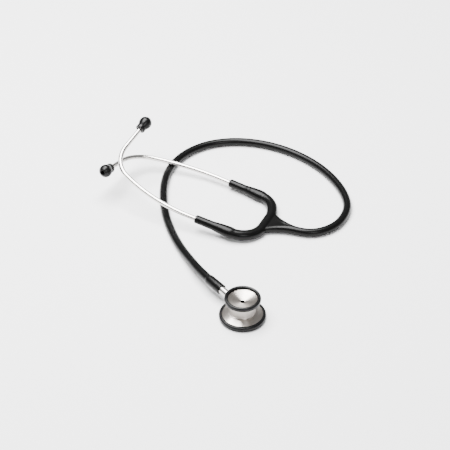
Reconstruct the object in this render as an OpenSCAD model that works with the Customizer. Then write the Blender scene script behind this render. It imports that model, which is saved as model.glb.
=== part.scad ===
// Double-headed acoustic stethoscope, laid down as it is stored, in millimetres.
// The origin is the centre of the diaphragm's face, +Z is up, and the headset lies nearly along X with its ear
// tips towards -X. "left" is the -Y side of the headset.

/* [Main tube] */
// Outside diameter of the main tube
tube_od = 8.8; // [8:0.1:11]
// Bore of the tubing
tube_bore = 4; // [3:0.1:5]
// Outside diameter of the sleeve at the chestpiece end of the tube
sleeve_od = 10.4; // [10:0.1:13]
// Length of that sleeve
sleeve_len = 22; // [18.5:0.5:40]

/* [Yoke] */
// Outside diameter of the yoke's two legs
yoke_od = 10.6; // [10:0.1:13]
// Distance between the middles of the two legs
leg_spacing = 70; // [60:1:84]
// Radius of the bend between the yoke's base and each leg, at the middle of the leg
yoke_bend = 26; // [24:1:32]
// Length of the straight part of a leg at full thickness
leg_straight = 14.5; // [10:0.5:30]
// Length of the taper from the leg to its sleeve
leg_taper = 6; // [3:0.5:12]
// Length of the thin sleeve that grips the ear tube
leg_sleeve = 19; // [12:0.5:30]
// Outside diameter of that sleeve
leg_sleeve_od = 8.6; // [7.5:0.1:10]
// Reach of the web from the middle of the yoke's base to the main tube
web_len = 28; // [24:1:40]
// Half width of the web where it meets the yoke's base
web_half = 17; // [12:0.5:18]
// Direction of the yoke's middle line, anticlockwise from +X, in degrees
yoke_turn = 5.1; // [0:0.1:8]

/* [Headset] */
// Outside diameter of an ear tube
ear_od = 4.8; // [4:0.1:5.6]
// Wall of an ear tube
ear_wall = 0.7; // [0.5:0.05:1]
// Straight part of an ear tube outside its sleeve
ear_straight = 8; // [6:1:40]
// Radius of the long bend
long_bend = 196.5; // [160:0.5:240]
// Angle of the long bend
long_bend_angle = 23.9; // [18:0.1:30]
// Radius of the short bend
short_bend = 32.4; // [26:0.1:40]
// Angle of the short bend
short_bend_angle = 73.3; // [60:0.1:84]
// Straight part from the short bend to the end of the ear tube
ear_end = 36.4; // [30:0.1:44]
// Turn of the left ear tube in its sleeve, which lifts its end, in degrees
left_roll = 17.6; // [14:0.1:22]
// Turn of the right ear tube in its sleeve
right_roll = 14.8; // [10:0.1:16]
// Rise of the left arm from the surface, in degrees
left_pitch = 8.3; // [8:0.1:11]
// Rise of the right arm from the surface
right_pitch = 1.7; // [1.5:0.1:2.2]
// How far the left arm rests open from the yoke's middle line, in degrees
left_open = 1; // [0:0.1:3]
// How far the right arm rests open
right_open = 9.1; // [7:0.1:11]

/* [Leaf spring] */
// Thickness of the leaf
leaf_thick = 0.8; // [0.5:0.1:1.2]
// Width of the leaf
leaf_width = 4.4; // [3:0.2:5]

/* [Ear tips] */
// Greatest diameter of an ear tip
tip_od = 12.7; // [11:0.1:15]
// Diameter of the collar of an ear tip
tip_collar_od = 10; // [9:0.1:11]
// Length of an ear tip
tip_len = 17; // [15:0.5:22]

/* [Chestpiece] */
// Outside diameter of the ring on the diaphragm side
rim_od = 46; // [40:0.5:52]
// Outside diameter of the ring on the bell side
bell_ring_od = 35.6; // [32:0.2:39]
// Height of the whole chestpiece
chest_h = 25.6; // [24.6:0.2:30]
// Diameter of the neck
neck_od = 24.6; // [23:0.2:26]
// Height of the stem's axis above the diaphragm's face
stem_z = 12.6; // [12:0.1:13.5]
// Diameter of the acoustic hole through the neck
port_d = 4; // [3:0.1:4.4]
// Thickness of the diaphragm
diaphragm_t = 0.4; // [0.2:0.05:0.6]

/* [Stem] */
// Outside diameter of the stem
stem_od = 8; // [7.4:0.1:8.6]
// Bore of the stem
stem_bore = 3.2; // [2.4:0.1:3.4]
// Distance from the chestpiece's axis to the sleeve
stem_reach = 32.5; // [29:0.5:45]
// Diameter of the journal that turns in the neck
journal_d = 6.4; // [6:0.1:7]
// Direction of the stem, anticlockwise from +X
stem_angle = 158; // [150:1:165]

/* [Hidden] */
$fn = 48;

// Clearances
run_gap = 0.05;      // radial, where one metal piece turns in another
hinge_gap = 0.45;    // round the ball at the root of each leg
over = 0.2;          // how far a cut runs past the face it opens
lap = 0.05;          // how far two lengths of a bent bar run into each other
leaf_crimp = 1;      // how far the crimp at the root of a leg reaches back over the leaf in the base
bend_step = 0.03;    // a bar is this much thinner in a bend, in radius
leaf_gap = 0.05;     // round the leaf spring

// Colours
black_pvc = "#18181a";
black_rubber = "#1d1d1f";
tube_steel = "#d9d6d2";
turned_steel = "#b5aea6";
spring_steel = "#8f9296";
brass_colour = "#b9974f";
membrane = "#c9c6bd";

// Yoke layout in its own frame: its base runs along Y, its legs run towards -X
base = [-48.3, 136.4, yoke_od / 2];
flat_half = leg_spacing / 2 - yoke_bend;      // half of the straight part of the base
hinge_turn = 26;                              // where on the bend the leg's root sits, in degrees
hinge_x = -yoke_bend * (1 - cos(hinge_turn));
hinge_y = flat_half + yoke_bend * sin(hinge_turn);
leg_turn = 90 - hinge_turn;                   // what is left of the bend in the leg
leg_end = leg_straight + leg_taper + leg_sleeve;
ear_grip = leg_sleeve + 4;                    // how deep the ear tube sits in the leg
leaf_offset = tube_bore / 2 + 1;              // from the middle of the leg to the near face of the leaf
leaf_end = leg_straight - 1;                  // the leaf stops before the taper

// The middle of the main tube, from the yoke's web to the sleeve on the stem. It lies on the surface in between.
tube_z = tube_od / 2;
sleeve_end = stem_reach + sleeve_len;
stem_dir = [cos(stem_angle), sin(stem_angle), 0];
tube_route = [
    base + web_len * [cos(yoke_turn), sin(yoke_turn), 0],
    [-9.8, 140.4, tube_z + 0.4],
    [1.5, 145.7, tube_z],
    [10.7, 155.8, tube_z],
    [17, 171, tube_z],
    [17, 189, tube_z],
    [12, 206, tube_z],
    [1, 221, tube_z],
    [-13, 234, tube_z],
    [-30, 245.5, tube_z],
    [-50, 255, tube_z],
    [-74, 261.5, tube_z],
    [-98, 263.5, tube_z],
    [-122, 261, tube_z],
    [-144, 253.5, tube_z],
    [-162, 242, tube_z],
    [-176, 227, tube_z],
    [-185, 208, tube_z],
    [-188.5, 187, tube_z],
    [-186.5, 166, tube_z],
    [-179, 145, tube_z],
    [-168, 125, tube_z],
    [-155, 106, tube_z],
    [-140, 88, tube_z],
    [-122.5, 71, tube_z],
    [-104, 56, tube_z + 0.5],
    [-86, 43, tube_z + 2.9],
    [-69.5, 31, tube_z + 6.2],
    [sleeve_end * stem_dir[0], sleeve_end * stem_dir[1], stem_z]
];

function unit(v) = v / norm(v);
// Points on an arc in the plane, from one angle to another
function arc(c, r, a0, a1, n = 8) =
    [for (i = [0:n]) let (a = a0 + (a1 - a0) * i / n) [c[0] + r * cos(a), c[1] + r * sin(a)]];

// A round tube swept along a list of points, with one ring of corners on each point
module sweep(route, r, sides = 10, first, last) {
    n = len(route);
    heading = [for (i = [0:n - 1])
        i == 0 ? first : i == n - 1 ? last : unit(unit(route[i + 1] - route[i]) + unit(route[i] - route[i - 1]))];
    corners = [for (i = [0:n - 1]) let (
            side = unit(cross(heading[i], [0, 0, 1])),
            lift = cross(side, heading[i]))
        for (k = [0:sides - 1]) let (a = 360 * k / sides)
            route[i] + r * (cos(a) * side + sin(a) * lift)];
    walls = [for (i = [0:n - 2]) for (k = [0:sides - 1]) let (j = (k + 1) % sides)
        [i * sides + k, i * sides + j, (i + 1) * sides + j, (i + 1) * sides + k]];
    near_end = [[for (k = [sides - 1:-1:0]) k]];
    far_end = [[for (k = [0:sides - 1]) (n - 1) * sides + k]];
    polyhedron(corners, concat(near_end, walls, far_end), convexity = 10);
}

module main_tube() {
    color(black_pvc) sweep(tube_route, tube_od / 2, 10, [cos(yoke_turn), sin(yoke_turn), 0], -stem_dir);
}

// ---- Frames that the pieces are placed in ----

// The stem's frame: +X from the chestpiece's axis along the stem
module on_stem() {
    translate([0, 0, stem_z]) rotate([0, 0, stem_angle]) children();
}

// The yoke's frame: the middle of its base is at the origin, and +X runs to the main tube
module on_yoke() {
    translate(base) rotate([0, 0, yoke_turn]) children();
}

// A leg's own frame: its ball is at the origin, and the leg bends away from +Y into -X
module in_arm(side) {
    on_yoke() translate([hinge_x, side * hinge_y, 0])
        rotate([0, side < 0 ? left_pitch : right_pitch, side < 0 ? left_open : -right_open])
            mirror([0, side < 0 ? 1 : 0, 0]) children();
}

// The far end of a leg's bend, with +X along the leg and the inside of the headset at +Y
module at_leg_axis() {
    translate([-yoke_bend - hinge_x, leg_spacing / 2 - hinge_y, 0]) rotate([0, 0, 180]) children();
}

// The frame at the end of a leg's sleeve, rolled for the ear tube
module at_leg_mouth(roll) {
    at_leg_axis() translate([leg_end, 0, 0]) rotate([roll, 0, 0]) children();
}

// ---- Bent round bar: a list of runs, each [straight length, bend radius, bend angle] ----

ear_runs = [
    [ear_grip + ear_straight, long_bend, long_bend_angle],
    [1, short_bend, short_bend_angle],
    [ear_end, 0, 0]
];

// extra lengthens both ends, for a bore that has to run out of them
module bent_bar(runs, r, extra = 0, i = 0) {
    if (i < len(runs)) {
        run = runs[i];
        back = i == 0 ? extra : lap;
        fore = i == len(runs) - 1 ? extra : lap;
        translate([-back, 0, 0]) rotate([0, 90, 0]) cylinder(h = run[0] + back + fore, r = r);
        if (run[2] > 0)
            translate([run[0], run[1], 0]) rotate([0, 0, -90])
                rotate_extrude(angle = run[2]) translate([run[1], 0]) circle(r = r - bend_step);
        past_run(run) bent_bar(runs, r, extra, i + 1);
    }
}

// Moves its children past one run
module past_run(run) {
    translate([run[0] + run[1] * sin(run[2]), run[1] * (1 - cos(run[2])), 0]) rotate([0, 0, run[2]]) children();
}

module at_ear_end(i = 0) {
    if (i < len(ear_runs)) past_run(ear_runs[i]) at_ear_end(i + 1) children();
    else children();
}

// ---- Yoke ----

// The base of the yoke's U as round bar between the roots of the two legs
module base_bar(r) {
    on_yoke() {
        rotate([90, 0, 0]) cylinder(h = 2 * flat_half + 2 * lap, r = r, center = true);
        for (side = [-1, 1])
            translate([-yoke_bend, side * flat_half, 0]) rotate([0, 0, side < 0 ? -hinge_turn : 0])
                rotate_extrude(angle = hinge_turn) translate([yoke_bend, 0]) circle(r = r - bend_step);
    }
}

// The part of a leg from its root to the end of the bend
module leg_bend(r) {
    at_bend() rotate([0, 0, hinge_turn])
        rotate_extrude(angle = leg_turn) translate([yoke_bend, 0]) circle(r = r - bend_step);
}

// Centre of the yoke's bend, in a leg's own frame
module at_bend() {
    translate([-yoke_bend - hinge_x, flat_half - hinge_y, 0]) children();
}

// Flat web between the yoke's base and the main tube, with round edges
module web() {
    edge_r = tube_od / 2 - 0.4;
    root = web_half - edge_r;
    tip = web_len - 6;
    on_yoke() {
        rotate([0, 90, 0]) cylinder(h = web_len, r = tube_od / 2);
        linear_extrude(height = 2 * edge_r - 0.4, center = true)
            polygon([[0, -root], [tip, 0], [0, root]]);
        for (side = [-1, 1])
            translate([0, side * root, 0]) rotate([0, 0, -side * atan2(root, tip)]) rotate([0, 90, 0])
                cylinder(h = norm([root, tip]), r = edge_r);
    }
}

module yoke_hub() {
    color(black_pvc) difference() {
        union() {
            base_bar(yoke_od / 2);
            web();
        }
        for (side = [-1, 1])
            on_yoke() translate([hinge_x, side * hinge_y, 0]) sphere(r = yoke_od / 2 + hinge_gap);
        base_bar(tube_bore / 2);
        on_yoke() rotate([0, 90, 0]) cylinder(h = web_len + over, r = tube_bore / 2 - 0.05);
        hub_leaf(leaf_gap);
    }
}

// The curved strip of the leaf spring round one bend of the yoke, grown by a gap
module leaf_arc(angle, gap) {
    rotate_extrude(angle = angle)
        translate([yoke_bend - leaf_offset - leaf_thick - gap, -leaf_width / 2 - gap])
            square([leaf_thick + 2 * gap, leaf_width + 2 * gap]);
}

module hub_leaf(gap) {
    on_yoke() {
        translate([-leaf_offset - leaf_thick - gap, -flat_half - lap, -leaf_width / 2 - gap])
            cube([leaf_thick + 2 * gap, 2 * flat_half + 2 * lap, leaf_width + 2 * gap]);
        for (side = [-1, 1])
            translate([-yoke_bend, side * flat_half, 0]) rotate([0, 0, side < 0 ? -hinge_turn : 0])
                leaf_arc(hinge_turn, gap);
    }
}

// The leaf inside one leg, in the leg's own frame
module leg_leaf(gap) {
    at_bend() rotate([0, 0, hinge_turn]) {
        leaf_arc(leg_turn, gap);
        // Crimp that joins it to the leaf in the base, over the angle that the leg rests open by
        translate([yoke_bend - leaf_offset - leaf_thick - gap - 0.1, -leaf_crimp, -leaf_width / 2 - gap - 0.1])
            cube([leaf_thick + 2 * gap + 0.2, leaf_crimp + 0.3, leaf_width + 2 * gap + 0.2]);
    }
    at_leg_axis() translate([-lap, leaf_offset - gap, -leaf_width / 2 - gap])
        cube([leaf_end + gap, leaf_thick + 2 * gap, leaf_width + 2 * gap]);
}

module leaf_spring() {
    color(spring_steel) {
        hub_leaf(0);
        for (side = [-1, 1]) in_arm(side) leg_leaf(0);
    }
}

module yoke_leg() {
    color(black_pvc) difference() {
        union() {
            sphere(r = yoke_od / 2);
            leg_bend(yoke_od / 2 - 0.1);
            at_leg_axis() rotate([0, 90, 0]) {
                translate([0, 0, -lap]) cylinder(h = leg_straight + lap, r = yoke_od / 2 - 0.1);
                translate([0, 0, leg_straight])
                    cylinder(h = leg_taper, r1 = yoke_od / 2 - 0.1, r2 = leg_sleeve_od / 2);
                translate([0, 0, leg_straight + leg_taper]) cylinder(h = leg_sleeve, r = leg_sleeve_od / 2);
            }
        }
        sphere(r = tube_bore / 2 + 0.1);
        leg_bend(tube_bore / 2);
        at_leg_axis() rotate([0, 90, 0]) {
            translate([0, 0, -lap]) cylinder(h = leg_end, r = tube_bore / 2);
            translate([0, 0, leg_end - ear_grip]) cylinder(h = ear_grip + over, r = ear_od / 2);
        }
        leg_leaf(leaf_gap);
        // Pocket in the ball, where the leaf comes in from the yoke's base
        at_bend() rotate([0, 0, hinge_turn])
            translate([yoke_bend - leaf_offset - leaf_thick - 0.8, -yoke_od, -leaf_width / 2 - 1])
                cube([leaf_thick + 1.45, yoke_od + 0.35, leaf_width + 2]);
    }
}

// ---- Headset ----

module ear_tube(roll) {
    color(tube_steel) at_leg_mouth(roll) translate([-ear_grip, 0, 0]) difference() {
        bent_bar(ear_runs, ear_od / 2);
        bent_bar(ear_runs, ear_od / 2 - ear_wall, over);
    }
}

module at_tip(roll) {
    at_leg_mouth(roll) translate([-ear_grip, 0, 0]) at_ear_end() rotate([0, 90, 0]) children();
}

bush_len = 9;                   // threaded bush inside the ear tip
bush_r = ear_od / 2 + 0.9;
tip_back = -10;                 // the collar's rear face, from the end of the ear tube

// Threaded bush that the ear tube's end sits in
module tip_bush(roll) {
    color(brass_colour) at_tip(roll) translate([0, 0, tip_back + 1]) difference() {
        union() {
            cylinder(h = bush_len, r = bush_r - 0.35);
            for (k = [0:4]) translate([0, 0, 0.5 + k * 1.8]) {
                cylinder(h = 0.4, r1 = bush_r - 0.35, r2 = bush_r);
                translate([0, 0, 0.4]) cylinder(h = 0.4, r1 = bush_r, r2 = bush_r - 0.35);
            }
        }
        translate([0, 0, -over]) cylinder(h = bush_len + 2 * over, r = ear_od / 2 + run_gap);
    }
}

// Soft mushroom-shaped ear tip
module ear_tip(roll) {
    r = tip_od / 2;
    c = tip_collar_od / 2;
    waist = c - 0.5;
    mouth = 2.5;
    bulb = tip_len - 5.5;
    color(black_rubber) at_tip(roll) translate([0, 0, tip_back]) rotate_extrude() polygon(concat(
        [[ear_od / 2 + 0.1, 0]],
        arc([c - 0.8, 0.8], 0.8, -90, 0, 4),
        arc([c - 0.7, 4.2], 0.7, 0, 80, 4),
        [[waist, 5.2], [waist + 0.1, 5.7]],
        [for (i = [1:11]) let (t = i / 12, a = 180 * pow(t, 0.85))
            [waist + (r - waist) * sin(a) - (waist - mouth - 0.8) * pow(t, 3), 5.5 + bulb * t]],
        arc([mouth + 0.6, tip_len - 0.6], 0.6, 90, 180, 4),
        [[mouth - 0.3, tip_len - 3], [ear_od / 2 - ear_wall, tip_len - 4]],
        [[ear_od / 2 - ear_wall, -tip_back + 0.2]],
        [[bush_r + 0.1, -tip_back + 0.2], [bush_r + 0.1, 0.9], [ear_od / 2 + 0.1, 0.9]]
    ));
}

// ---- Chestpiece: turned parts are profiles of [radius, height] ----

bell_r = bell_ring_od / 2 - 1.6;      // outside of the bell's metal rim
bell_top = chest_h - 1.1;             // top of the bell's metal rim
bell_wall = 1.4;
bell_lip = bell_top - 1.3;            // where the bowl starts inside the rim
bell_floor = bell_top - 5;
flange_r = rim_od / 2 - 1.9;          // outside of the metal flange round the diaphragm
flange_z0 = 1.7;
flange_z1 = 4.2;
neck_r = neck_od / 2;
port_r = port_d / 2;
journal_r = journal_d / 2;
spot_x = neck_r - 0.7;                // spot face that the stem's shoulder turns on

// The bowl of the bell: a shallow curve from the port to the inner lip of the ring
bowl = [for (i = [0:8]) let (t = i / 8) [
    port_r + (bell_r - bell_wall - port_r) * t,
    bell_floor + (bell_lip - bell_floor) * pow(t, 1.35)]];

// The top of the flange, from its edge in to the neck
flange_top = [[flange_r, flange_z1], [flange_r - 0.9, flange_z1 + 0.5], [neck_r + 2.2, 7.7]];

module chest_body() {
    color(turned_steel) difference() {
        rotate_extrude() polygon(concat(
            [[port_r, 4.4], [flange_r - 2.2, 2.5], [flange_r - 2.2, flange_z0], [flange_r, flange_z0]],
            flange_top, [[neck_r + 1.2, 8]],
            arc([neck_r + 1.2, 9.2], 1.2, 270, 180, 5),
            [[neck_r, bell_top - 7.2]],
            arc([neck_r + 1.6, bell_top - 7.2], 1.6, 180, 130, 4),
            [[bell_r - 0.4, bell_top - 2.9], [bell_r, bell_top - 2.4], [bell_r, bell_top - 0.2]],
            [[bell_r - 0.2, bell_top], [bell_r - bell_wall, bell_top]],
            [for (i = [8:-1:0]) bowl[i]]
        ));
        on_stem() {
            rotate([0, 90, 0]) {
                translate([0, 0, -4.6]) cylinder(h = neck_r + 6, r = journal_r + run_gap);
                translate([0, 0, clip_x - 0.5]) cylinder(h = 1, r = clip_or + 0.05);
                translate([0, 0, spot_x]) cylinder(h = 6, r = stem_od / 2 + 0.6);
            }
            translate([detent_x, 0, 0]) rotate([90, 0, 0]) cylinder(h = neck_r + 1, r = ball_r + run_gap);
            translate([detent_x, -screw_y, 0]) rotate([90, 0, 0]) cylinder(h = 4, r = screw_r);
        }
    }
}

// Round-cornered ring section between two radii and two heights
function ring_section(r0, r1, z0, z1, c) = concat(
    arc([r1 - c, z0 + c], c, -90, 0, 6), arc([r1 - c, z1 - c], c, 0, 90, 6),
    arc([r0 + c, z1 - c], c, 90, 180, 6), arc([r0 + c, z0 + c], c, 180, 270, 6));

// Chill-proof ring stretched over the rim of the bell
module bell_ring() {
    color(black_rubber) difference() {
        rotate_extrude() polygon(ring_section(bell_ring_od / 2 - 3.6, bell_ring_od / 2, bell_top - 3.6, chest_h, 1.7));
        rotate_extrude() polygon([[0, bell_top - 5], [bell_r, bell_top - 5], [bell_r, bell_top],
            [bell_r - bell_wall, bell_top], [bell_r - bell_wall, bell_lip], [0, bell_lip]]);
    }
}

// Ring that holds the diaphragm on the flange
module diaphragm_rim() {
    lip_r = flange_r - 1;
    color(black_rubber) difference() {
        rotate_extrude() difference() {
            polygon(concat(
                [[lip_r, 0]], arc([rim_od / 2 - 1.9, 1.9], 1.9, -90, 0, 6),
                arc([rim_od / 2 - 1.9, 3.5], 1.9, 0, 90, 6), [[lip_r - 0.1, 5.4], [lip_r - 0.1, 5]]));
            translate([0, 0.9]) square([flange_r, flange_z1 - 0.9]);
            polygon(concat([[neck_r, flange_z1 - 0.1], [flange_r, flange_z1 - 0.1]], flange_top, [[neck_r, 7.7]]));
        }
    }
}

// Soft surround between the stiff disc and the flange
module diaphragm_surround() {
    color(black_rubber) rotate_extrude() polygon([
        [flange_r - 2.9, diaphragm_t], [flange_r - 1.3, diaphragm_t], [flange_r - 1.3, 0.9], [flange_r - 0.1, 0.9],
        [flange_r - 0.1, flange_z0], [flange_r - 2.1, flange_z0], [flange_r - 2.9, 1.1]]);
}

module diaphragm() {
    color(membrane) cylinder(h = diaphragm_t, r = flange_r - 1.3);
}

// ---- Stem and what holds it in the neck ----

clip_x = 6.8;                  // middle of the retaining clip
clip_or = journal_r + 0.8;
ring_x = 9.8;                  // middle of the O-ring
detent_x = 3.2;
ball_r = 1;
spigot_r = 3;
spigot_x = stem_reach + 3;     // where the spigot starts, inside the sleeve
spigot_len = sleeve_len - 6.5;

// Barbed end of the stem, round +Z
module spigot() {
    translate([0, 0, spigot_x]) cylinder(h = spigot_len, r = spigot_r);
    for (k = [0:2]) translate([0, 0, spigot_x + spigot_len - 3.2 - k * 4])
        cylinder(h = 3, r1 = spigot_r + 0.5, r2 = spigot_r);
}

module stem() {
    color(tube_steel) on_stem() difference() {
        rotate([0, 90, 0]) {
            translate([0, 0, -4.4]) cylinder(h = spot_x + 4.5, r = journal_r);
            translate([0, 0, spot_x + 0.1]) cylinder(h = spigot_x - spot_x - 0.1, r = stem_od / 2);
            spigot();
        }
        rotate([0, 90, 0]) {
            translate([0, 0, -stem_bore / 2]) cylinder(h = 100, r = stem_bore / 2);
            groove(clip_x, 0.9, journal_r - 0.45);
            groove(ring_x, 1.2, journal_r - 0.75);
        }
        translate([0, 0, -journal_r - over]) cylinder(h = journal_r + over, r = stem_bore / 2);
        for (side = [-1, 1]) translate([detent_x, side * (journal_r + ball_r - 0.35), 0]) sphere(r = ball_r + 0.02);
    }
}

// A groove round the stem, cut down to a radius
module groove(x, width, r) {
    translate([0, 0, x - width / 2]) difference() {
        cylinder(h = width, r = journal_r + 1);
        translate([0, 0, -over]) cylinder(h = width + 2 * over, r = r);
    }
}

module stem_o_ring() {
    section = 0.36;
    color(black_rubber) on_stem() translate([ring_x, 0, 0]) rotate([0, 90, 0])
        rotate_extrude() translate([journal_r + run_gap - 0.02 - section, 0]) circle(r = section, $fn = 24);
}

// Open spring clip, held in the neck and running in the stem's groove
module stem_clip() {
    gap_angle = 60;
    color(spring_steel) on_stem() translate([clip_x, 0, 0]) rotate([0, 90, 0]) translate([0, 0, -0.35])
        rotate_extrude(angle = 360 - gap_angle) translate([journal_r - 0.3, 0])
            square([clip_or - journal_r + 0.3, 0.7]);
}

screw_r = 1.5;
screw_y = neck_r - 3.4;
screw_len = 2.2;
coil_r = 0.72;
coil_wire = 0.16;

module detent_ball() {
    color(spring_steel) on_stem() translate([detent_x, -journal_r - run_gap - ball_r, 0]) sphere(r = ball_r);
}

// Coil spring that presses the ball on the journal
module detent_spring() {
    turns = 5;
    y0 = journal_r + run_gap + 2 * ball_r + coil_wire + 0.02;
    y1 = screw_y - coil_wire - 0.02;
    steps = 12 * turns;
    wire = [for (i = [0:steps]) [coil_r * cos(30 * i), coil_r * sin(30 * i), y0 + (y1 - y0) * i / steps]];
    color(spring_steel) on_stem() translate([detent_x, 0, 0]) rotate([90, 0, 0])
        sweep(wire, coil_wire, 6, unit(wire[1] - wire[0]), unit(wire[steps] - wire[steps - 1]));
}

// Grub screw that closes the detent's hole
module detent_screw() {
    color(turned_steel) on_stem() translate([detent_x, -screw_y, 0]) rotate([90, 0, 0]) difference() {
        cylinder(h = screw_len, r = screw_r);
        translate([0, 0, screw_len - 1.2]) cylinder(h = 1.4, r = 0.85, $fn = 6);
    }
}

// Thick sleeve moulded on the end of the tube, which grips the stem
module tube_end_sleeve() {
    color(black_pvc) on_stem() rotate([0, 90, 0]) difference() {
        translate([0, 0, stem_reach]) union() {
            translate([0, 0, 0.8]) cylinder(h = sleeve_len - 2.3, r = sleeve_od / 2);
            cylinder(h = 0.8, r1 = sleeve_od / 2 - 0.5, r2 = sleeve_od / 2);
            translate([0, 0, sleeve_len - 1.5]) cylinder(h = 1.5, r1 = sleeve_od / 2, r2 = tube_od / 2);
        }
        translate([0, 0, stem_reach - over]) cylinder(h = 3 + over, r = stem_od / 2);
        spigot();
        translate([0, 0, stem_reach - over]) cylinder(h = sleeve_len + 2 * over, r = tube_bore / 2);
    }
}

// ---- Nodes ----

main_tube();
tube_end_sleeve();
yoke_hub();
leaf_spring();
stem();
stem_o_ring();
in_arm(-1) yoke_leg();  // left_yoke_leg
in_arm(-1) ear_tube(left_roll);  // left_ear_tube
in_arm(-1) ear_tip(left_roll);  // left_ear_tip
in_arm(-1) tip_bush(left_roll);  // left_tip_bush
in_arm(1) yoke_leg();  // right_yoke_leg
in_arm(1) ear_tube(right_roll);  // right_ear_tube
in_arm(1) ear_tip(right_roll);  // right_ear_tip
in_arm(1) tip_bush(right_roll);  // right_tip_bush
chest_body();
bell_ring();
diaphragm();
diaphragm_surround();
diaphragm_rim();
stem_clip();
detent_ball();
detent_spring();
detent_screw();
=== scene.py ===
from math import cos, pi, radians, sin, sqrt

import bmesh
import bpy
from mathutils import Matrix, Vector


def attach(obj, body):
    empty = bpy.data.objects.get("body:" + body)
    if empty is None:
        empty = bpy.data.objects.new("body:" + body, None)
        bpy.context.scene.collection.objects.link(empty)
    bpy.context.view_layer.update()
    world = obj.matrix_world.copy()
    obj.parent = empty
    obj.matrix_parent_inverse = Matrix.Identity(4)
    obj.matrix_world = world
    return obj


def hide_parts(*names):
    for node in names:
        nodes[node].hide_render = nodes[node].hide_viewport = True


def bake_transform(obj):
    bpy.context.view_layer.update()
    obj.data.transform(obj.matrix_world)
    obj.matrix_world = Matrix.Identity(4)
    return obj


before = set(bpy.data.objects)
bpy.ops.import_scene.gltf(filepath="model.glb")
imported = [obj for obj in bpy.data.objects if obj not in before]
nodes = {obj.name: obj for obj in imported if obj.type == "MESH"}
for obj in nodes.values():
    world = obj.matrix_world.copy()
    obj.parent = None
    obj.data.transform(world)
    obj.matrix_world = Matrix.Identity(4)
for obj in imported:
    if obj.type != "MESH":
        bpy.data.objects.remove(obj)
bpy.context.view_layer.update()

# ---------------------------------------------------------------------------
# The camera stands off the right-hand front corner and looks down on the
# instrument, so that the bell, the yoke and both ear tips are in view.
# ---------------------------------------------------------------------------
looks_at = Vector((-0.0869, 0.1167, 0.0))
back = Vector((sin(radians(30)) * cos(radians(38)), -cos(radians(30)) * cos(radians(38)), sin(radians(38))))
camera_data = bpy.data.cameras.new("camera")
camera_data.lens = 114.7
camera_data.sensor_width = 36.0
camera_data.clip_end = 10.0
camera = bpy.data.objects.new("camera", camera_data)
camera.location = looks_at + back * 1.5
camera.rotation_euler = (-back).to_track_quat("-Z", "Y").to_euler()
bpy.context.scene.collection.objects.link(camera)
bpy.context.scene.camera = camera


# ---------------------------------------------------------------------------
# Main tube: one length of extruded black PVC, 0.58 m from the yoke to the
# sleeve on the stem. It lies on the table in one open loop and only lifts at
# its ends, where the yoke and the chestpiece hold it.
# ---------------------------------------------------------------------------
def new_material(name):
    """A material with one bare shader in it: the material, its node tree and the shader."""
    material = bpy.data.materials.new(name)
    material.use_nodes = True
    tree = material.node_tree
    tree.nodes.clear()
    out = tree.nodes.new("ShaderNodeOutputMaterial")
    shader = tree.nodes.new("ShaderNodeBsdfPrincipled")
    tree.links.new(shader.outputs["BSDF"], out.inputs["Surface"])
    return material, tree, shader


def moulded_skin_group():
    """Skin of moulded vinyl and rubber: a gloss that varies, a faint ripple, and fine dust."""
    group = bpy.data.node_groups.new("moulded skin", "ShaderNodeTree")
    face = group.interface
    for name, usual in (("Roughness", 0.25), ("Variation", 0.08), ("Ripple", 0.1), ("Ripple scale", 180.0)):
        face.new_socket(name, in_out="INPUT", socket_type="NodeSocketFloat").default_value = usual
    face.new_socket("Roughness", in_out="OUTPUT", socket_type="NodeSocketFloat")
    face.new_socket("Dust", in_out="OUTPUT", socket_type="NodeSocketFloat")
    face.new_socket("Normal", in_out="OUTPUT", socket_type="NodeSocketVector")
    make, link = group.nodes.new, group.links.new
    given, result, place = make("NodeGroupInput"), make("NodeGroupOutput"), make("ShaderNodeTexCoord")
    blotch, ripple, specks = (make("ShaderNodeTexNoise") for _ in range(3))
    for noise, scale, detail, rough in ((blotch, 70, 4, 0.6), (ripple, 180, 2, 0.5), (specks, 1400, 2, 0.7)):
        noise.inputs["Scale"].default_value = scale
        noise.inputs["Detail"].default_value = detail
        noise.inputs["Roughness"].default_value = rough
        link(place.outputs["Object"], noise.inputs["Vector"])
    link(given.outputs["Ripple scale"], ripple.inputs["Scale"])
    centred, gloss = make("ShaderNodeMath"), make("ShaderNodeMath")
    centred.operation, gloss.operation = "SUBTRACT", "MULTIPLY_ADD"
    centred.inputs[1].default_value = 0.5
    link(blotch.outputs["Fac"], centred.inputs[0])
    link(centred.outputs[0], gloss.inputs[0])
    link(given.outputs["Variation"], gloss.inputs[1])
    link(given.outputs["Roughness"], gloss.inputs[2])
    link(gloss.outputs[0], result.inputs["Roughness"])
    bump = make("ShaderNodeBump")
    bump.inputs["Distance"].default_value = 0.0004
    link(given.outputs["Ripple"], bump.inputs["Strength"])
    link(ripple.outputs["Fac"], bump.inputs["Height"])
    link(bump.outputs["Normal"], result.inputs["Normal"])
    dust = make("ShaderNodeMapRange")
    dust.inputs["From Min"].default_value = 0.66
    dust.inputs["From Max"].default_value = 0.80
    link(specks.outputs["Fac"], dust.inputs["Value"])
    link(dust.outputs["Result"], result.inputs["Dust"])
    return group


moulded_skin = moulded_skin_group()


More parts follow.
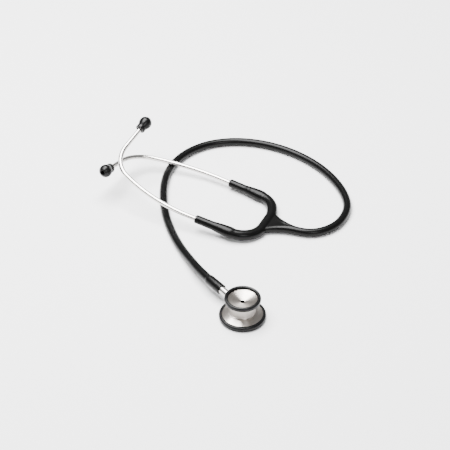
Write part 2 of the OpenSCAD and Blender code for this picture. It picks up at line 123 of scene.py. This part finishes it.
def moulded(name, colour, dusty, roughness, variation, ripple, ripple_scale, specular):
    """A material with the moulded skin: its clean colour, its dusty colour, and how the skin is set."""
    material, tree, shader = new_material(name)
    skin, tint = tree.nodes.new("ShaderNodeGroup"), tree.nodes.new("ShaderNodeMix")
    skin.node_tree = moulded_skin
    for key, value in (("Roughness", roughness), ("Variation", variation), ("Ripple", ripple),
                       ("Ripple scale", ripple_scale)):
        skin.inputs[key].default_value = value
    tint.data_type = "RGBA"
    tint.inputs["A"].default_value = (*colour, 1)
    tint.inputs["B"].default_value = (*dusty, 1)
    tree.links.new(skin.outputs["Dust"], tint.inputs["Factor"])
    tree.links.new(tint.outputs["Result"], shader.inputs["Base Color"])
    tree.links.new(skin.outputs["Roughness"], shader.inputs["Roughness"])
    tree.links.new(skin.outputs["Normal"], shader.inputs["Normal"])
    shader.inputs["Specular IOR Level"].default_value = specular
    return material


black_pvc = moulded("black PVC", colour=(0.0022, 0.0022, 0.0022), dusty=(0.010, 0.010, 0.010), roughness=0.26,
                    variation=0.10, ripple=0.05, ripple_scale=150.0, specular=0.12)

yoke_middle = Vector((-0.0483, 0.1364, 0.0053))
yoke_place = Matrix.Translation(yoke_middle) @ Matrix.Rotation(radians(5.1), 4, "Z")
stem_place = Matrix.Translation((0, 0, 0.0126)) @ Matrix.Rotation(radians(158), 4, "Z")
tube_radius = 0.0044
lying = [
    (0.0015, 0.1457), (0.0107, 0.1558), (0.017, 0.171), (0.017, 0.189), (0.012, 0.206), (0.001, 0.221),
    (-0.013, 0.234), (-0.030, 0.2455), (-0.050, 0.255), (-0.074, 0.2615), (-0.098, 0.2635), (-0.122, 0.261),
    (-0.144, 0.2535), (-0.162, 0.242), (-0.176, 0.227), (-0.185, 0.208), (-0.1885, 0.187), (-0.1865, 0.166),
    (-0.179, 0.145), (-0.168, 0.125), (-0.155, 0.106), (-0.140, 0.088), (-0.1225, 0.071),
]
rising_to_stem = [(-0.104, 0.056, 0.0049), (-0.086, 0.043, 0.0073), (-0.0695, 0.031, 0.0106)]
web_tip, inside_sleeve, on_stem_end = 0.028, 0.0545, 0.0525
tube_line = ([yoke_place @ Vector((web_tip, 0, 0)), (-0.0098, 0.1404, 0.0048)]
             + [(x, y, tube_radius) for x, y in lying] + rising_to_stem
             + [stem_place @ Vector((inside_sleeve, 0, 0)), stem_place @ Vector((on_stem_end, 0, 0))])
route = bpy.data.curves.new("main_tube_skin", "CURVE")
route.dimensions = "3D"
route.resolution_u = 10
route.bevel_depth = tube_radius
route.bevel_resolution = 12
route.use_fill_caps = True
spline = route.splines.new("NURBS")
spline.points.add(len(tube_line) - 1)
for point, place in zip(spline.points, tube_line):
    point.co = (*place, 1)
spline.order_u = 3
spline.use_endpoint_u = True
route.materials.append(black_pvc)
main_tube = bpy.data.objects.new("main_tube_skin", route)
bpy.context.scene.collection.objects.link(main_tube)
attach(main_tube, "tubing")
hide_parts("main_tube")


# ---------------------------------------------------------------------------
# Sleeve at the chestpiece end: a thicker collar of the same PVC, moulded on
# the tube's end and pushed over the barbs of the stem. Its mouth is rounded.
# ---------------------------------------------------------------------------
def add_piece(name, bm, material, body, slot, *stands_for):
    """A finished mesh as an object of the scene, smooth, riding on its body."""
    bmesh.ops.recalc_face_normals(bm, faces=bm.faces[:])
    for side in bm.faces:
        side.smooth = True
    mesh = bpy.data.meshes.new(name)
    bm.to_mesh(mesh)
    bm.free()
    mesh.materials.append(material)
    piece = bpy.data.objects.new(name, mesh)
    bpy.context.scene.collection.objects.link(piece)
    if body:
        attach(piece, body)
    if stands_for:
        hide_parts(*stands_for)
    return piece


def turned(profile, place, steps=72):
    """A closed profile of (radius, height) in millimetres, turned once about its own Z and put in its place."""
    bm = bmesh.new()
    corners = [bm.verts.new((r / 1000, 0, z / 1000)) for r, z in profile]
    edges = [bm.edges.new((a, b)) for a, b in zip(corners, corners[1:] + corners[:1])]
    bmesh.ops.spin(bm, geom=corners + edges, cent=(0, 0, 0), axis=(0, 0, 1), dvec=(0, 0, 0), angle=2 * pi,
                   steps=steps, use_merge=True, use_normal_flip=False, use_duplicate=False)
    bm.transform(place)
    return bm


def rounding(centre, radius, start, end, steps=5):
    """Points of a rounded corner of a profile, from one angle to another in degrees."""
    angles = [radians(start + (end - start) * k / steps) for k in range(steps + 1)]
    return [(centre[0] + radius * cos(angle), centre[1] + radius * sin(angle)) for angle in angles]


along_stem = stem_place @ Matrix.Rotation(pi / 2, 4, "Y")
sleeve_mouth = [(4.02, 33.6), (4.02, 33.0)] + rounding((4.7, 33.0), 0.5, 180, 360, 8)
sleeve_side = [(5.2, 34.2), (5.22, 40), (5.2, 51.0)]
sleeve_shoulder = [(5.05, 52.4), (4.75, 53.4), (4.5, 54.2), (4.38, 54.6)]
sleeve_bore = [(3.9, 54.7), (3.9, 40.0)]
sleeve = turned(sleeve_mouth + sleeve_side + sleeve_shoulder + sleeve_bore, along_stem)
add_piece("tube_end_sleeve_skin", sleeve, black_pvc, "tubing", "black_pvc", "tube_end_sleeve")

# ---------------------------------------------------------------------------
# Yoke web: the flat, rib-edged plate that joins the tubing's two passages to
# the one main tube. It is moulded in one with the U and shows a crease there.
# ---------------------------------------------------------------------------
def swept(stations, sides=32):
    """A bar drawn along stations of (centre, heading, outline).

    An outline gives the place across and up for an angle around the bar. Both ends are closed with a sharp rim.
    """
    bm = bmesh.new()
    spoke = bm.verts.layers.int.new("spoke")
    ring = bmesh.ops.create_circle(bm, cap_ends=False, segments=sides, radius=0.001)["verts"]
    for k, corner in enumerate(ring):
        corner[spoke] = k
    loop = bm.edges[:]
    first = loop
    for k, (centre, heading, outline) in enumerate(stations):
        if k:
            grown = bmesh.ops.extrude_edge_only(bm, edges=loop)["geom"]
            ring = [g for g in grown if isinstance(g, bmesh.types.BMVert)]
            new = set(ring)
            loop = [g for g in grown if isinstance(g, bmesh.types.BMEdge) and set(g.verts) <= new]
        across = Vector(heading).cross((0, 0, 1)).normalized()
        up = across.cross(heading).normalized()
        for corner in ring:
            a, b = outline(2 * pi * corner[spoke] / sides)
            corner.co = Vector(centre) + across * a + up * b
    for end in (first, loop):
        bmesh.ops.contextual_create(bm, geom=end)
        for edge in end:
            edge.smooth = False
    return bm


def round_outline(radius, wider=1.0):
    """A round bar, or one that is wider across than it is high."""
    return lambda turn: (radius * wider * cos(turn), radius * sin(turn))


def smooth(t):
    """An eased step from 0 to 1."""
    t = max(0.0, min(1.0, t))
    return t * t * (3 - 2 * t)


def web_outline(half_width, rib, dip):
    """A flat plate with a round rib along each edge; the plate between lies lower by the dip."""
    def outline(turn):
        """The place across and up, for one turn around the bar."""
        c, s = cos(turn), sin(turn)
        flat = half_width - rib
        across = rib * c + flat * max(-1, min(1, 1.6 * c))
        middle = 1 - min(1, abs(across) / max(flat, 0.00001)) ** 2 if flat > 0 else 0
        return across, rib * s * (1 - dip * middle * min(1, flat / 0.003))
    return outline


web_end, web_steps = 0.0315, 32
fillet, fillet_end = 0.051, 0.0344
proud, root_fullness, rib_thinning, plate_dip = 0.00004, 0.0006, 0.0006, 0.16
web_heading = yoke_place.to_3x3() @ Vector((1, 0, 0))
web_stations = []
for k in range(web_steps + 1):
    x = web_end * k / web_steps
    reach = fillet_end - x
    half = tube_radius + fillet - sqrt(fillet ** 2 - max(reach, 0) ** 2) + root_fullness * smooth(reach / 0.02)
    rib = tube_radius - rib_thinning * max(0, 1 - x / 0.024)
    web_stations.append((yoke_place @ Vector((x, 0, 0)), web_heading,
                         web_outline(half + proud, rib + proud, plate_dip)))
add_piece("yoke_web_skin", swept(web_stations, 96), black_pvc, "tubing", "black_pvc", "yoke_hub")

# ---------------------------------------------------------------------------
# Yoke legs: the two halves of the moulded U. Each runs from the middle of the
# base round its bend, swells where the straight part starts, and steps down
# to the thin sleeve that grips an ear tube. The real soft bend flexes; here the legs are fixed.
# ---------------------------------------------------------------------------
bend_radius, flat_half, half_spacing = 0.026, 0.009, 0.035
hinge_turn, flex_start, flex_stop = radians(26), radians(16), radians(68)
# side: its name, how far it stands open at rest, its pitch, and the roll of its ear tube
arms = {-1: ("left", radians(1.0), radians(8.3), radians(17.6)),
        1: ("right", radians(-9.1), radians(1.7), radians(14.8))}


def hinge_point(side):
    """Where the arm's hinge stands in the bend of the U."""
    return Vector((-bend_radius * (1 - cos(hinge_turn)), side * (flat_half + bend_radius * sin(hinge_turn)), 0))


def leg_point(side, length, inward=0.0):
    """A point of the U, that far along from the middle of its base; inward is towards the inside of the U."""
    rest_open, pitch = arms[side][1:3]
    if length < flat_half:
        flat, turn = Vector((-inward, side * length, 0)), 0
    elif length < flat_half + bend_radius * pi / 2:
        turn = (length - flat_half) / bend_radius
        r = bend_radius - inward
        flat = Vector((-bend_radius + r * cos(turn), side * (flat_half + r * sin(turn)), 0))
    else:
        turn = pi / 2
        straight = length - flat_half - bend_radius * pi / 2
        flat = Vector((-bend_radius - straight, side * (half_spacing - inward), 0))
    share = smooth((turn - radians(8)) / radians(36))
    hinge = hinge_point(side)
    turned_by = Matrix.Rotation(rest_open * share, 4, "Z") @ Matrix.Rotation(pitch * share, 4, "Y")
    return yoke_place @ (hinge + turned_by @ (flat - hinge))


bend_end = flat_half + bend_radius * pi / 2
leg_length = 0.0395
leg_mouth = bend_end + leg_length
# how far along, in metres, and the radius there, in millimetres; the last seven are the rounded mouth
leg_sizes = [(0, 5.3), (bend_end - 0.012, 5.25), (bend_end - 0.005, 5.25), (bend_end - 0.0005, 5.85),
             (bend_end + 0.003, 5.9), (bend_end + 0.010, 5.6), (bend_end + 0.0150, 5.15),
             (bend_end + 0.0190, 4.7), (bend_end + 0.0205, 4.55), (bend_end + 0.022, 4.55), (leg_mouth - 0.0012, 4.5),
             (leg_mouth - 0.0006, 4.35), (leg_mouth - 0.0002, 4.05), (leg_mouth, 3.6),
             (leg_mouth + 0.0001, 3.1), (leg_mouth - 0.0003, 2.6),
             (leg_mouth - 0.0015, 2.45)]


def leg_radius(length):
    """The leg's radius in metres, eased between its listed sizes."""
    for (a, ra), (b, rb) in zip(leg_sizes, leg_sizes[1:13]):
        if length <= b:
            return (ra + (rb - ra) * smooth((length - a) / (b - a))) / 1000
    return 0.0043


def flexing(piece):
    """Bakes a piece of the U's place into its mesh; the piece follows no body."""
    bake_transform(piece)


leg_step, look_ahead = 0.00125, 0.0004
for side, (hand, *_) in arms.items():
    stations = []
    for k in range(int((leg_mouth - 0.0014) / leg_step) + 1):
        s = k * leg_step
        heading = leg_point(side, s + look_ahead) - leg_point(side, s - look_ahead if s > look_ahead else s)
        wider = 1.08 if s < bend_end else 1.08 - 0.08 * smooth((s - bend_end) / 0.018)
        stations.append((leg_point(side, s), heading, round_outline(leg_radius(s), wider)))
    for s, r in leg_sizes[-7:]:
        stations.append((leg_point(side, s), heading, round_outline(r / 1000)))
    leg = add_piece(hand + "_yoke_leg_skin", swept(stations, 48), black_pvc, None, "black_pvc",
                    hand + "_yoke_leg")
    flexing(leg)

# ---------------------------------------------------------------------------
# Leaf spring: one strip of blued spring steel inside the U, which draws the
# ear tubes together. The real strip bends with the legs; here it is made in
# two halves, one along each leg.
# ---------------------------------------------------------------------------
spring_steel, tree, shader = new_material("spring steel")
grain = tree.nodes.new("ShaderNodeTexNoise")
place = tree.nodes.new("ShaderNodeTexCoord")
tone = tree.nodes.new("ShaderNodeValToRGB")
grain.inputs["Scale"].default_value = 900
grain.inputs["Detail"].default_value = 3
tone.color_ramp.elements[0].color = (0.20, 0.22, 0.27, 1)
tone.color_ramp.elements[1].color = (0.42, 0.43, 0.46, 1)
tree.links.new(place.outputs["Object"], grain.inputs["Vector"])
tree.links.new(grain.outputs["Fac"], tone.inputs["Fac"])
tree.links.new(tone.outputs["Color"], shader.inputs["Base Color"])
shader.inputs["Metallic"].default_value = 1.0
shader.inputs["Roughness"].default_value = 0.32
half_thick, half_wide, leaf_inward, leaf_past_bend, leaf_steps = 0.0004, 0.0022, 0.0034, 0.0132, 49


def strip_outline(turn):
    """A flat strip with slanted corners."""
    return half_thick * max(-1, min(1, 1.6 * cos(turn))), half_wide * max(-1, min(1, 1.6 * sin(turn)))


for side, (hand, *_) in arms.items():
    stations = []
    for k in range(leaf_steps + 1):
        s = k * (bend_end + leaf_past_bend) / leaf_steps
        ahead = leg_point(side, s + look_ahead, leaf_inward)
        behind = leg_point(side, max(0, s - look_ahead), leaf_inward)
        stations.append((leg_point(side, s, leaf_inward), ahead - behind, strip_outline))
    leaf = add_piece(hand + "_leaf_half", swept(stations, 16), spring_steel, None, "spring_steel",
                     "leaf_spring")
    flexing(leaf)

# ---------------------------------------------------------------------------
# Ear tubes: drawn steel tube of 4.8 mm, bent twice and plated bright. Each is
# pushed into the sleeve of its leg, and the left one crosses over the right.
# ---------------------------------------------------------------------------
polished_steel, tree, shader = new_material("polished steel")
place, smear, gloss = (tree.nodes.new(kind) for kind in
                       ("ShaderNodeTexCoord", "ShaderNodeTexNoise", "ShaderNodeMapRange"))
smear.inputs["Scale"].default_value = 260
smear.inputs["Detail"].default_value = 5
gloss.inputs["To Min"].default_value = 0.16
gloss.inputs["To Max"].default_value = 0.28
tree.links.new(place.outputs["Object"], smear.inputs["Vector"])
tree.links.new(smear.outputs["Fac"], gloss.inputs["Value"])
tree.links.new(gloss.outputs["Result"], shader.inputs["Roughness"])
shader.inputs["Base Color"].default_value = (0.62, 0.60, 0.58, 1)
shader.inputs["Metallic"].default_value = 1.0

ear_grip, ear_radius, bend_steps = 0.023, 0.0024, 28
# straight length, then the radius and angle of the bend after it
ear_runs = [(ear_grip + 0.008, 0.1965, radians(23.9)), (0.001, 0.0324, radians(73.3)), (0.0364, 0, 0)]


def leg_frame(side):
    """The frame at the mouth of a leg's sleeve, with +X out of it, rolled for its ear tube."""
    rest_open, pitch, roll = arms[side][1:]
    hinge = hinge_point(side)
    out = yoke_place @ Matrix.Translation(hinge)
    out = out @ Matrix.Rotation(rest_open, 4, "Z") @ Matrix.Rotation(pitch, 4, "Y")
    if side < 0:
        out = out @ Matrix.Scale(-1, 4, (0, 1, 0))
    out = out @ Matrix.Translation((-bend_radius - hinge.x, half_spacing - abs(hinge.y), 0))
    out = out @ Matrix.Rotation(pi, 4, "Z")
    return out @ Matrix.Translation((leg_length, 0, 0)) @ Matrix.Rotation(roll, 4, "X")


def along_bend(bend, angle):
    """The place reached after that angle of a bend."""
    return Vector((bend * sin(angle), bend * (1 - cos(angle)), 0))


ear_ends = {}
for side, (hand, *_) in arms.items():
    here = leg_frame(side) @ Matrix.Translation((-ear_grip, 0, 0))
    line = [here @ Vector((0, 0, 0))]
    for straight, bend, angle in ear_runs:
        line += [here @ Vector((straight * k / 6, 0, 0)) for k in range(1, 7)]
        here = here @ Matrix.Translation((straight, 0, 0))
        if bend:
            line += [here @ along_bend(bend, angle * k / bend_steps) for k in range(1, bend_steps + 1)]
            here = here @ Matrix.Translation(along_bend(bend, angle)) @ Matrix.Rotation(angle, 4, "Z")
    ear_ends[side] = here
    stations = []
    for k, centre in enumerate(line):
        heading = (line[min(k + 1, len(line) - 1)] - line[max(k - 1, 0)]).normalized()
        stations.append((centre, heading, round_outline(ear_radius)))
    add_piece(hand + "_ear_tube_skin", swept(stations, 32), polished_steel, hand + "_arm", "polished_steel",
              hand + "_ear_tube")

# ---------------------------------------------------------------------------
# Ear tips: soft black rubber mushrooms with a ringed collar, screwed on the
# ends of the ear tubes over brass bushes. Each has a sound hole in its end.
# ---------------------------------------------------------------------------
black_rubber = moulded("black rubber", colour=(0.0026, 0.0026, 0.0027), dusty=(0.012, 0.012, 0.012),
                       roughness=0.27, variation=0.12, ripple=0.08, ripple_scale=420.0, specular=0.17)
tip_collar = [(2.55, 0.2)] + rounding((4.5, 0.75), 0.75, -90, 0) + rounding((4.5, 3.4), 0.75, 0, 70)
tip_waist = [(4.95, 4.4), (5.1, 4.8)]
tip_bulb = []
for k in range(1, 21):
    t = k / 20
    swell, narrowing = sin(pi / 2 * min(1, t / 0.5)), max(0, (t - 0.5) / 0.5) ** 2.3
    tip_bulb.append((5.2 + 1.7 * swell - 3.1 * narrowing, 5.0 + 11.5 * t))
tip_hole = rounding((2.85, 16.45), 0.62, 60, 180) + [(2.2, 14.4), (1.7, 13.2), (1.7, 10.2)]
tip_socket = [(3.4, 10.2), (3.4, 0.9), (2.55, 0.9)]
tip_profile = tip_collar + tip_waist + tip_bulb + tip_hole + tip_socket
tip_grip = 0.010
for side, (hand, *_) in arms.items():
    place = ear_ends[side] @ Matrix.Rotation(pi / 2, 4, "Y") @ Matrix.Translation((0, 0, -tip_grip))
    add_piece(hand + "_ear_tip_skin", turned(tip_profile, place, 48), black_rubber, hand + "_tip",
              "black_rubber", hand + "_ear_tip")


def finish_with(material, *names):
    """Gives CAD pieces their material."""
    for name in names:
        nodes[name].data.materials.clear()
        nodes[name].data.materials.append(material)


brass, tree, shader = new_material("brass")
place, tarnish, tone = (tree.nodes.new(kind) for kind in
                        ("ShaderNodeTexCoord", "ShaderNodeTexNoise", "ShaderNodeValToRGB"))
tarnish.inputs["Scale"].default_value = 500
tone.color_ramp.elements[0].color = (0.45, 0.30, 0.11, 1)
tone.color_ramp.elements[1].color = (0.80, 0.60, 0.27, 1)
tree.links.new(place.outputs["Object"], tarnish.inputs["Vector"])
tree.links.new(tarnish.outputs["Fac"], tone.inputs["Fac"])
tree.links.new(tone.outputs["Color"], shader.inputs["Base Color"])
shader.inputs["Metallic"].default_value = 1.0
shader.inputs["Roughness"].default_value = 0.28
finish_with(brass, "left_tip_bush", "right_tip_bush")

# ---------------------------------------------------------------------------
# Stem: a turned and polished steel pipe with a barbed end in the sleeve. It
# turns in the neck of the chestpiece, and a rubber ring seals it there.
# ---------------------------------------------------------------------------
finish_with(polished_steel, "stem")
finish_with(black_rubber, "stem_o_ring")

# ---------------------------------------------------------------------------
# Chestpiece body: one piece of stainless steel, turned on a lathe and left
# with its fine turning lines, which spread the light into fans. Within 2 mm of
# the axis the steel is painted near black: painted shade in the bored hole.
# ---------------------------------------------------------------------------
turned_steel, tree, shader = new_material("turned steel")
place, split, flat, lines, tone, gloss, bump, around = (tree.nodes.new(kind) for kind in (
    "ShaderNodeTexCoord", "ShaderNodeSeparateXYZ", "ShaderNodeCombineXYZ", "ShaderNodeTexNoise",
    "ShaderNodeValToRGB", "ShaderNodeMapRange", "ShaderNodeBump", "ShaderNodeTangent"))
length = tree.nodes.new("ShaderNodeVectorMath")
length.operation = "LENGTH"
link = tree.links.new
link(place.outputs["Object"], split.inputs[0])
link(split.outputs["X"], flat.inputs["X"])
link(split.outputs["Y"], flat.inputs["Y"])
link(flat.outputs[0], length.inputs[0])
rings = tree.nodes.new("ShaderNodeCombineXYZ")
link(length.outputs["Value"], rings.inputs["X"])
link(split.outputs["Z"], rings.inputs["Z"])
lines.inputs["Scale"].default_value = 2600
lines.inputs["Detail"].default_value = 2
link(rings.outputs[0], lines.inputs["Vector"])
tone.color_ramp.elements[0].position, tone.color_ramp.elements[1].position = 0.3, 0.7
tone.color_ramp.elements[0].color = (0.40, 0.365, 0.33, 1)
tone.color_ramp.elements[1].color = (0.55, 0.515, 0.48, 1)
link(lines.outputs["Fac"], tone.inputs["Fac"])
# Painted shade: within 2 mm of the axis the bore is painted near black.
bore_shade_mask, shade = tree.nodes.new("ShaderNodeMapRange"), tree.nodes.new("ShaderNodeMix")
bore_shade_mask.inputs["From Min"].default_value = 0.00200
bore_shade_mask.inputs["From Max"].default_value = 0.00212
shade.data_type = "RGBA"
shade.inputs["A"].default_value = (0.004, 0.004, 0.004, 1)
link(length.outputs["Value"], bore_shade_mask.inputs["Value"])
link(bore_shade_mask.outputs["Result"], shade.inputs["Factor"])
link(tone.outputs["Color"], shade.inputs["B"])
link(shade.outputs["Result"], shader.inputs["Base Color"])
gloss.inputs["To Min"].default_value = 0.24
gloss.inputs["To Max"].default_value = 0.36
link(lines.outputs["Fac"], gloss.inputs["Value"])
link(gloss.outputs["Result"], shader.inputs["Roughness"])
bump.inputs["Strength"].default_value = 0.15
bump.inputs["Distance"].default_value = 0.00003
link(lines.outputs["Fac"], bump.inputs["Height"])
link(bump.outputs["Normal"], shader.inputs["Normal"])
around.direction_type, around.axis = "RADIAL", "Z"
link(around.outputs["Tangent"], shader.inputs["Tangent"])
shader.inputs["Metallic"].default_value = 1.0
shader.inputs["Anisotropic"].default_value = 0.9
shader.inputs["Anisotropic Rotation"].default_value = 0.25
finish_with(turned_steel, "chest_body", "detent_screw")

# ---------------------------------------------------------------------------
# Rings and diaphragm: two black rubber rings stretched over the rims, and
# under the lower one a stiff resin disc. The small sprung parts are inside.
# ---------------------------------------------------------------------------
membrane, tree, shader = new_material("glass-filled resin disc")
place, weave, tone = (tree.nodes.new(kind) for kind in
                      ("ShaderNodeTexCoord", "ShaderNodeTexNoise", "ShaderNodeValToRGB"))
weave.inputs["Scale"].default_value = 1200
weave.inputs["Detail"].default_value = 4
tone.color_ramp.elements[0].color = (0.50, 0.48, 0.43, 1)
tone.color_ramp.elements[1].color = (0.66, 0.64, 0.59, 1)
tree.links.new(place.outputs["Object"], weave.inputs["Vector"])
tree.links.new(weave.outputs["Fac"], tone.inputs["Fac"])
tree.links.new(tone.outputs["Color"], shader.inputs["Base Color"])
shader.inputs["Roughness"].default_value = 0.3
finish_with(black_rubber, "bell_ring", "diaphragm_rim", "diaphragm_surround")
finish_with(membrane, "diaphragm")
finish_with(spring_steel, "stem_clip", "detent_ball", "detent_spring")

# ---------------------------------------------------------------------------
# Table and lights: a plain white table top, one large soft light overhead and
# a weaker one from the side, in a dim room.
# ---------------------------------------------------------------------------
bm = bmesh.new()
bmesh.ops.create_grid(bm, x_segments=1, y_segments=1, size=6.0)
table_mesh = bpy.data.meshes.new("table_top")
bm.to_mesh(table_mesh)
bm.free()
table = bpy.data.objects.new("table_top", table_mesh)
bpy.context.scene.collection.objects.link(table)
paper, tree, shader = new_material("white paper")
shader.inputs["Base Color"].default_value = (0.9, 0.9, 0.905, 1)
shader.inputs["Roughness"].default_value = 0.9
shader.inputs["Specular IOR Level"].default_value = 0.0
table_mesh.materials.append(paper)


def soft_light(name, place, aim, size, power):
    """A large flat lamp, turned to face its aim."""
    lamp = bpy.data.lights.new(name, "AREA")
    lamp.shape = "RECTANGLE"
    lamp.size, lamp.size_y = size
    lamp.energy = power
    holder = bpy.data.objects.new(name, lamp)
    holder.location = place
    holder.rotation_euler = (Vector(aim) - Vector(place)).to_track_quat("-Z", "Y").to_euler()
    bpy.context.scene.collection.objects.link(holder)


soft_light("overhead_softbox", (-0.52, 0.16, 1.60), (-0.12, 0.12, 0), (1.6, 1.2), 165)
soft_light("side_softbox", (1.2, -0.9, 1.2), (-0.1, 0.1, 0), (0.6, 0.8), 12)
world = bpy.data.worlds.new("room")
bpy.context.scene.world = world
world.use_nodes = True
world.node_tree.nodes["Background"].inputs["Color"].default_value = (1, 1, 1, 1)
world.node_tree.nodes["Background"].inputs["Strength"].default_value = 0.35
